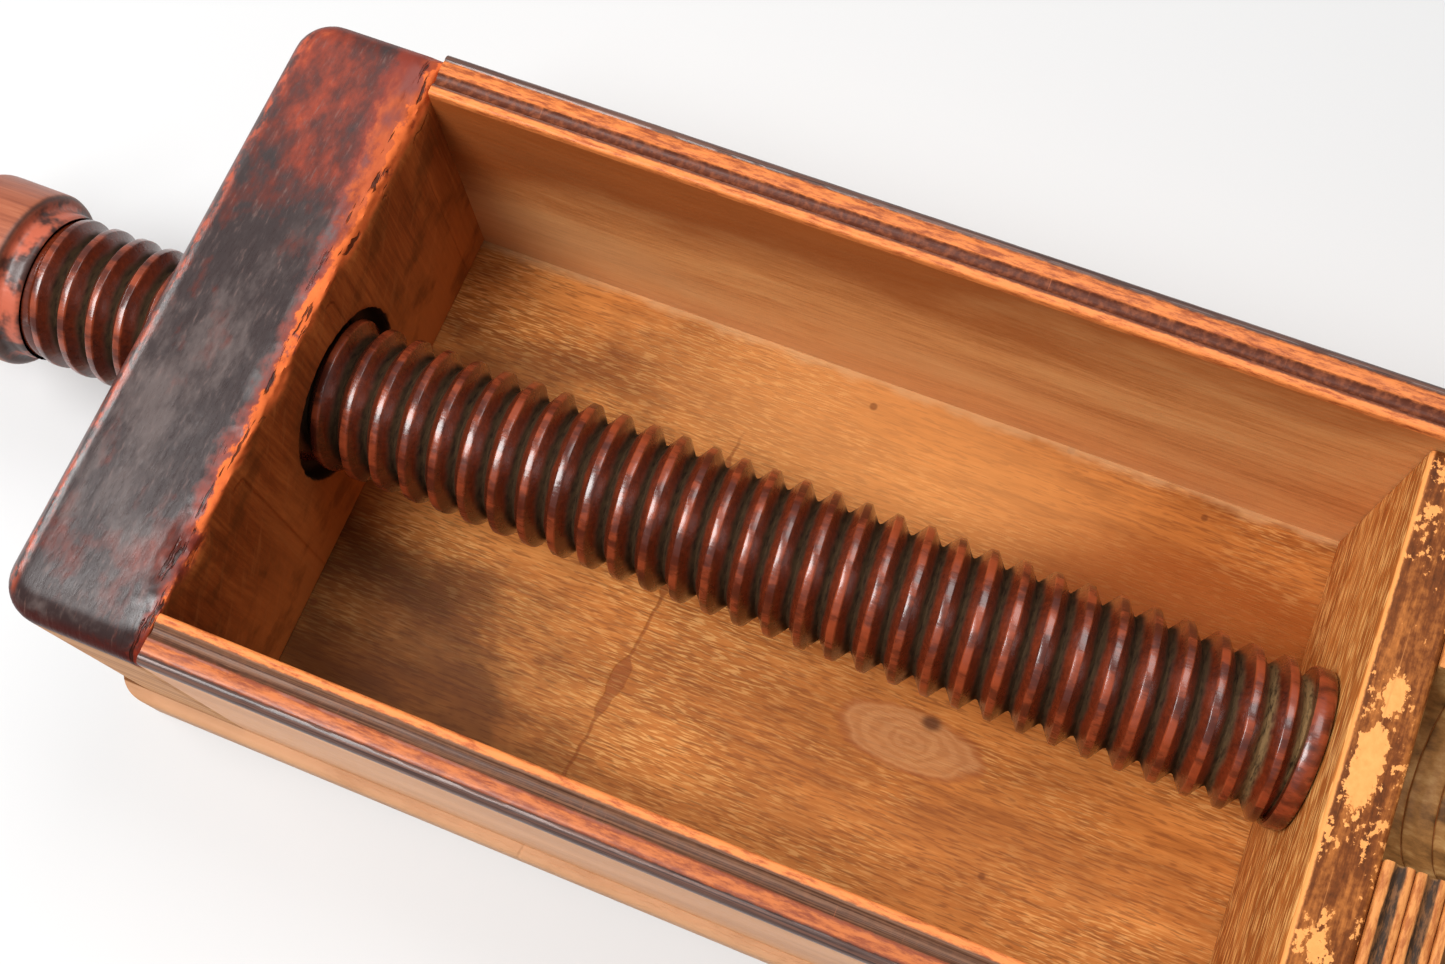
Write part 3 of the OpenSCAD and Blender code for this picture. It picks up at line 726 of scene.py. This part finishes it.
def head_material():
    """Satin reddish brown turned wood, mottled dark by the collar, with a painted shadow on the head's end
    face.
    """
    shade = Shader("head_wood")
    x, _, _ = shade.xyz()
    colour, fibres = wood_grain(shade, "x", rgb(184, 116, 84), rgb(158, 88, 60), rgb(118, 58, 38), 6.0)
    patch = shade.noise(shade.scaled(60, 60, 60), 1.0, 4.0, 0.62, 61.0)
    collar = shade.step(x, head_face - 9.0 * MM, head_face - 7.5 * MM)
    # painted shadow: the head's end face beside the collar, near black
    face = shade.both(shade.step(x, head_face - 10.2 * MM, head_face - 8.2 * MM), shade.invert(collar))
    mottled = shade.mix(shade.step(patch, 0.44, 0.56), rgb(64, 38, 32), rgb(184, 92, 66))
    colour = shade.mix(collar, colour, mottled)
    colour = shade.mix(face, colour, rgb(30, 16, 12))
    shade.set("Base Color", colour)
    shade.set("Roughness", shade.plus(shade.times(patch, 0.3), 0.25))
    shade.set("Normal", shade.bump(fibres, 0.12 * MM))
    return shade.material


def follower_material():
    """Golden tan face with long streaks; dark worn finish on the top with bare patches."""
    shade = Shader("follower_wood")
    x, y, z = shade.xyz()
    face, fibres = wood_grain(shade, "y", rgb(202, 130, 64), rgb(166, 94, 40), rgb(120, 62, 22), 7.0, 1.3)
    face = shade.tint(face, dashes(shade, "y", 110.0, 1100.0, 74.0, 0.50, 0.61), 0.75, rgb(242, 186, 112))
    face = shade.tint(face, dashes(shade, "y", 70.0, 800.0, 75.0, 0.56, 0.66), 0.5, rgb(150, 78, 34))
    patch = shade.noise(shade.scaled(95, 60, 40), 1.0, 6.0, 0.68, 71.0)
    fine = shade.noise(shade.scaled(520, 420, 300), 1.0, 3.0, 0.62, 72.0)
    smear = shade.noise(stretched(shade, "y", 26.0, 240.0), 1.0, 5.0, 0.7, 77.0)
    finish = shade.ramp(shade.plus(shade.times(smear, 0.75), shade.times(fine, 0.3)),
                        (0.36, rgb(62, 30, 10)), (0.50, rgb(112, 58, 22)), (0.66, rgb(180, 108, 50)))
    bare = shade.mix(fine, rgb(246, 172, 100), rgb(216, 136, 70))
    rag = shade.plus(shade.times(patch, 2.4), shade.times(fine, 0.9))
    rag = shade.minus(rag, 0.65)
    big = shade.step(ellipse(shade, x, y, PATCH_AT, PATCH_SIZE, rag), 1.22, 1.14)
    small = shade.step(ellipse(shade, x, y, SMALL_PATCH_AT, SMALL_PATCH_SIZE, rag), 1.20, 1.12)
    scattered = shade.step(shade.plus(patch, shade.times(fine, 0.45)), 0.79, 0.825)
    top_colour = shade.mix(shade.either(big, small, scattered), finish, bare)
    scratch = shade.noise(shade.vector(shade.times(x, 900.0), shade.times(y, 14.0), 0.0),
                          1.0, 2.0, 0.5, 76.0)
    top_colour = shade.tint(top_colour, shade.step(scratch, 0.64, 0.70), 0.5, rgb(200, 130, 72))
    front_edge = shade.step(shade.plus(x, shade.times(fine, 1.2 * MM)), follower_low[0] + 2.3 * MM,
                            follower_low[0] + 1.5 * MM)
    top_colour = shade.mix(front_edge, top_colour, rgb(222, 146, 80))
    top = shade.step(z, follower_high[2] - 1.3 * MM, follower_high[2] - 0.7 * MM)
    shade.set("Base Color", shade.mix(top, face, top_colour))
    shade.set("Roughness", shade.plus(shade.times(fibres, 0.2), 0.40))
    shade.set("Specular IOR Level", 0.12)
    shade.set("Normal", shade.bump(shade.mix(top, fibres, patch), 0.25 * MM))
    return shade.material


def plate_material(seed):
    """Moulded top with bright worn beads and a dark hollow; greyish olive inside the notch."""
    shade = Shader("plate_wood_%02d" % seed)
    x, y, z = shade.xyz()
    face, fibres = wood_grain(shade, "y", rgb(206, 134, 78), rgb(180, 104, 54), rgb(140, 72, 34),
                              80.0 + seed)
    low, high = low_high(PLATES[seed - 1])
    middle, half = (low[0] + high[0]) / 2, (high[0] - low[0]) / 2
    across = shade.math("DIVIDE", shade.absolute(shade.minus(x, middle)), half)
    rag = shade.noise(stretched(shade, "y", 60.0, 400.0), 1.0, 4.0, 0.6, 90.0 + seed)
    across = shade.plus(across, shade.times(shade.minus(rag, 0.5), 0.5))
    soot = shade.noise(stretched(shade, "y", 160.0, 700.0), 1.0, 4.0, 0.7, 95.0 + seed)
    dark = shade.mix(shade.step(soot, 0.42, 0.62), rgb(50, 33, 20), rgb(112, 72, 40))
    bead = shade.mix(shade.step(soot, 0.36, 0.60), rgb(164, 92, 44), rgb(208, 136, 74))
    rim = shade.mix(shade.step(across, 0.34, 0.48), dark, bead)
    top = shade.step(z, high[2] - 2.2 * MM, high[2] - 1.6 * MM)
    colour = shade.mix(top, face, rim)
    depth = shade.minus(high[2], z)
    distance = shade.hypot(y, depth)
    in_notch = shade.both(shade.step(distance, NOTCH_R + 1.0 * MM, NOTCH_R + 0.4 * MM),
                          shade.step(depth, 0.3 * MM, 1.2 * MM))
    stains = shade.noise(shade.scaled(60, 120, 120), 1.0, 5.0, 0.65, 97.0 + seed)
    notch = shade.ramp(stains, (0.34, rgb(92, 60, 30)), (0.50, rgb(150, 104, 56)), (0.66, rgb(188, 146, 92)))
    colour = shade.mix(in_notch, colour, notch)
    shade.set("Base Color", colour)
    shade.set("Roughness", shade.plus(shade.times(fibres, 0.2), 0.45))
    shade.set("Specular IOR Level", 0.2)
    shade.set("Normal", shade.bump(fibres, 0.2 * MM))
    return shade.material


def peg_material():
    """Pale plain wood."""
    shade = Shader("peg_wood")
    colour, fibres = wood_grain(shade, "z", rgb(200, 158, 108), rgb(176, 130, 84), rgb(140, 98, 60), 9.0)
    shade.set("Base Color", colour)
    shade.set("Roughness", 0.6)
    shade.set("Normal", shade.bump(fibres, 0.15 * MM))
    return shade.material


# ---------------------------------------------------------------- pieces

def wall_section():
    """The wall's section as (distance from the inner face, height), anticlockwise from the bottom."""
    height = wall_top - floor_top
    radius = (HOLLOW_W ** 2 / 4 + HOLLOW_DEPTH ** 2) / (2 * HOLLOW_DEPTH)
    half = math.degrees(math.asin(HOLLOW_W / 2 / radius))
    edge = OUTER_EDGE_R
    section = [(0, 0), (wall_t, 0)] + [(wall_t, height * f) for f in (0.25, 0.5, 0.75)]
    section += arc((wall_t - edge, height - edge), edge, 0, 90, 9)
    section += [(wall_t - edge - 0.5 * MM, height - 0.35 * MM)]
    section += [(u, height - 0.25 * MM * ((u - WIDE_BEAD_AT) / WIDE_BEAD_HALF) ** 2)
                for u in np.linspace(WIDE_BEAD_AT + 2.0 * MM, WIDE_BEAD_AT - 2.1 * MM, 7)]
    centre = (HOLLOW_AT + HOLLOW_W / 2, height + radius - HOLLOW_DEPTH)
    section += arc(centre, radius, -90 + half, -90 - half, 9)
    section += [(HOLLOW_AT - 0.4 * MM, height - 0.15 * MM)]
    section += arc((BEAD_R, height - BEAD_R), BEAD_R, 90, 180, 7)
    section += [(0, height * f) for f in (0.75, 0.5, 0.25)]
    return section


def make_wall(side, node, material):
    """One side wall with small dents along its top; side is 1 for the far one and -1 for the near one."""
    stations = np.linspace(nut_face, tail_face, 150)

    def place(u, v, s):
        dent = 0.0
        if v > wall_top - floor_top - 6 * MM:
            spot = (s, u * 3, side)
            dent = 0.22 * MM * wobble(spot, 90, 3.0) + 0.12 * MM * wobble(spot, 300, 5.0)
        return (s, side * (inner_half + u), floor_top + v - abs(dent))

    section = wall_section()
    if side < 0:
        section = section[::-1]
    swept_board(node + "_board", section, stations, place, material, "box", node)


def shape_nut(points):
    """Chips and splinters along the inner top edge, and shallow dents on the top."""
    out = points.copy()
    for i, (x, y, z) in enumerate(points):
        edge = nut_face - x
        if z > wall_top - 12 * MM and edge < 14 * MM:
            near = max(0.0, 1 - math.hypot(edge, wall_top - z) / (9 * MM))
            chip = 1.5 * max(0.0, wobble((0, y, 0), 55, 8.0) + 0.35)
            chip += 0.6 * abs(wobble((x, y, z), 260, 9.0))
            out[i, 2] -= 2.2 * MM * near * chip
            out[i, 0] -= 1.6 * MM * near * chip
        if z > wall_top - 1 * MM:
            out[i, 2] -= 0.25 * MM * (wobble((x, y, 0), 45, 2.0) + 1) * 0.5
    return out


def thread_profile():
    """One pitch of the thread as (x, radius): crisp crest, straight flanks, narrow root."""
    flank = (PITCH - CREST_FLAT - ROOT_FLAT) / 2
    root = CREST_R - THREAD_DEPTH
    soft, low = 0.3 * MM, 0.2 * MM
    drop = THREAD_DEPTH - low
    points = [(0.0, CREST_R - low), (soft * 0.4, CREST_R - low * 0.25), (soft, CREST_R),
              (CREST_FLAT / 2, CREST_R), (CREST_FLAT - soft, CREST_R),
              (CREST_FLAT - soft * 0.4, CREST_R - low * 0.25), (CREST_FLAT, CREST_R - low)]
    points += [(CREST_FLAT + flank * f, CREST_R - low - drop * f) for f in (0.08, 0.5, 0.92)]
    points += [(CREST_FLAT + flank + ROOT_FLAT / 2, root)]
    points += [(PITCH - flank * f, CREST_R - low - drop * f) for f in (0.92, 0.5, 0.08)]
    return points


def make_screw(material):
    """The threaded rod as one closed helical skin, with its front collar, nose and stem."""
    around = 84
    profile = thread_profile()
    steps = len(profile)
    first = thread_start + THREAD_PHASE - PITCH
    turns = math.ceil((thread_end - thread_start) / PITCH) + 2
    rows = turns * steps
    vertices = []
    for i in range(rows + 1):
        dx, radius = profile[i % steps]
        for j in range(around):
            angle = math.tau * j / around
            x = first + (i // steps) * PITCH + dx + PITCH * j / around
            spot = (x, math.cos(angle) * CREST_R, math.sin(angle) * CREST_R)
            r = radius
            if radius > CREST_R - 0.5 * MM:
                wear = abs(wobble(spot, 110, 4.0)) + max(0.0, wobble(spot, 330, 6.0))
                r -= 0.16 * MM * wear
            else:
                r -= 0.12 * MM * wobble(spot, 150, 7.0)
            x += 0.16 * MM * wobble(spot, 130, 9.0)
            x = min(max(x, thread_start), thread_end + 0.3 * MM)
            if x < thread_start + 2.5 * MM:
                r = max(r, CREST_R - 1.0 * MM)
            vertices.append((x, axis_y + r * math.cos(angle), axis_z + r * math.sin(angle)))
    faces = []
    for i in range(rows):
        for j in range(around - 1):
            a = i * around + j
            faces.append((a, a + 1, a + around + 1, a + around))
    for i in range(rows - steps):
        a, b = i * around + around - 1, (i + steps) * around
        faces.append((a, b, b + around, a + around))
    start_loop = list(range(around)) + [i * around for i in range(steps, 0, -1)]
    end = rows * around
    end_loop = list(range(end, end + around))
    end_loop += [(rows - i) * around + around - 1 for i in range(1, steps + 1)]
    faces.append(tuple(start_loop[::-1]))
    faces.append(tuple(end_loop))
    mesh = bpy.data.meshes.new("press_screw_thread")
    mesh.from_pydata(vertices, [], faces)
    collar_end, nose_end = thread_end + FRONT_COLLAR, screw_high[0]
    groove_start, groove_end = nose_end - 8.3 * MM, nose_end - 4.5 * MM
    groove_r = NOSE_R - 3 * MM
    lathe_onto(mesh, [(0, thread_end), (COLLAR_R - 0.5 * MM, thread_end), (COLLAR_R, thread_end + 0.7 * MM),
                      (COLLAR_R, collar_end - 1.6 * MM), (COLLAR_R - 0.5 * MM, collar_end - 0.5 * MM),
                      (COLLAR_R - 1.6 * MM, collar_end), (NOSE_R, collar_end), (NOSE_R, groove_start),
                      (groove_r, groove_start), (groove_r, groove_end), (NOSE_R, groove_end),
                      (NOSE_R, nose_end), (0, nose_end)])
    stem_end = thread_start + 1 * MM
    lathe_onto(mesh, [(0, screw_low[0]), (STEM_R, screw_low[0]), (STEM_R, stem_end), (0, stem_end)])
    finish_object("press_screw_turned", mesh, material, "screw", "press_screw", 50.0)


def lathe_onto(mesh, profile, around=96):
    """Adds a turned solid about the screw's axis; profile is (radius, x), from axis to axis."""
    work = bmesh.new()
    work.from_mesh(mesh)
    angles = [math.tau * j / around for j in range(around)]
    rings = []
    for radius, x in profile:
        if radius == 0:
            rings.append([work.verts.new((x, axis_y, axis_z))])
        else:
            rings.append([work.verts.new((x, axis_y + radius * math.cos(a), axis_z + radius * math.sin(a)))
                          for a in angles])
    for one, two in zip(rings, rings[1:]):
        for j in range(around):
            k = (j + 1) % around
            corners = [one[j % len(one)], one[k % len(one)], two[k % len(two)], two[j % len(two)]]
            corners = list(dict.fromkeys(corners))
            if len(corners) > 2:
                work.faces.new(corners)
    work.to_mesh(mesh)
    work.free()


def plate_rim():
    """How far the moulded top edge lies in from the outline, at places across the plate's thickness."""
    thick = plate_high[0] - plate_low[0]
    bead, hollow, depth = 1.2 * MM, 3.6 * MM, 0.9 * MM
    places = [(0, bead), (0.15 * MM, 0.62 * MM), (0.45 * MM, 0.25 * MM), (0.9 * MM, 0.04 * MM),
              (1.5 * MM, 0.0)]
    middle = thick / 2
    for f in np.linspace(-1, 1, 7):
        places.append((middle + f * hollow / 2, depth * (1 - f * f)))
    places += [(thick - t, d) for t, d in places[4::-1]]
    return places


def plate_outline(half, foot, top, inset):
    """The plate's outline with its upper edge drawn in by inset, as (y, z, 1 on the worn upper edge)."""
    top_z, radius = top - inset, NOTCH_R + 0.35 * inset
    start = math.degrees(math.asin(inset / radius))
    corner = radius * math.cos(math.radians(start))
    outline = [(y, foot, 0) for y in np.linspace(-half, half, 12)]
    outline += [(half, z, 0) for z in np.linspace(foot, top_z, 7)[1:-1]]
    outline += [(y, top_z, 1) for y in np.linspace(half, corner + 0.3 * MM, 60)]
    outline += [(y, z, 1) for y, z in arc((0, top), radius, -start, start - 180, 61)]
    outline += [(y, top_z, 1) for y in np.linspace(-corner - 0.3 * MM, -half, 60)]
    outline += [(-half, z, 0) for z in np.linspace(top_z, foot, 7)[1:-1]]
    return outline


def make_plate(index, material):
    """A board with a half-round notch in its top and a moulded, slightly worn upper edge."""
    node = PLATES[index]
    low, high = low_high(node)
    vertices = []
    for across, inset in plate_rim():
        for y, z, edge in plate_outline(high[1], low[2], high[2], inset):
            worn = 0.14 * MM * abs(wobble((across + index, y, z), 160, 2.0)) * edge
            vertices.append((low[0] + across, y, z - worn))
    rows = len(plate_rim())
    count = len(vertices) // rows
    faces = [(i * count + j, (i + 1) * count + j, (i + 1) * count + (j + 1) % count,
              i * count + (j + 1) % count)
             for i in range(rows - 1) for j in range(count)]
    last = (rows - 1) * count
    faces.append(tuple(range(count)))
    faces.append(tuple(range(last, last + count))[::-1])
    new_object(node + "_board", vertices, faces, material, node, node)


def paint(nodes, material):
    """Gives CAD nodes that are shown as they are their material."""
    for node in nodes:
        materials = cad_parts[node].data.materials
        materials.clear()
        materials.append(material)


def make_pieces():
    """Paints the CAD nodes that stay, and builds the pieces that replace the others."""
    base = base_material()
    wall = wall_material()
    block = block_material()
    head = head_material()
    pegs = peg_material()
    paint(["base_board"], base)
    paint(["block_pegs", "wall_pegs", "head_peg", "bar_peg", "garter_key"], pegs)
    paint(["turning_bar", "upper_bar_knob", "lower_bar_knob"], head)
    make_wall(1, "far_wall", wall)
    make_wall(-1, "near_wall", wall)
    worn_copy("nut_block", "nut_block_worn", block, "box", 1.2 * MM, 3, shape_nut)
    worn_copy("tail_block", "tail_block_worn", block, "box", 1.8 * MM, 3)
    worn_copy("screw_head", "screw_head_worn", head, "screw", 1.0 * MM, 3)
    worn_copy("follower", "follower_board", follower_material(), "follower", 1.1 * MM, 1)
    make_screw(screw_material())
    for index in range(len(PLATES)):
        make_plate(index, plate_material(index + 1))


make_camera()
make_stage()
make_pieces()
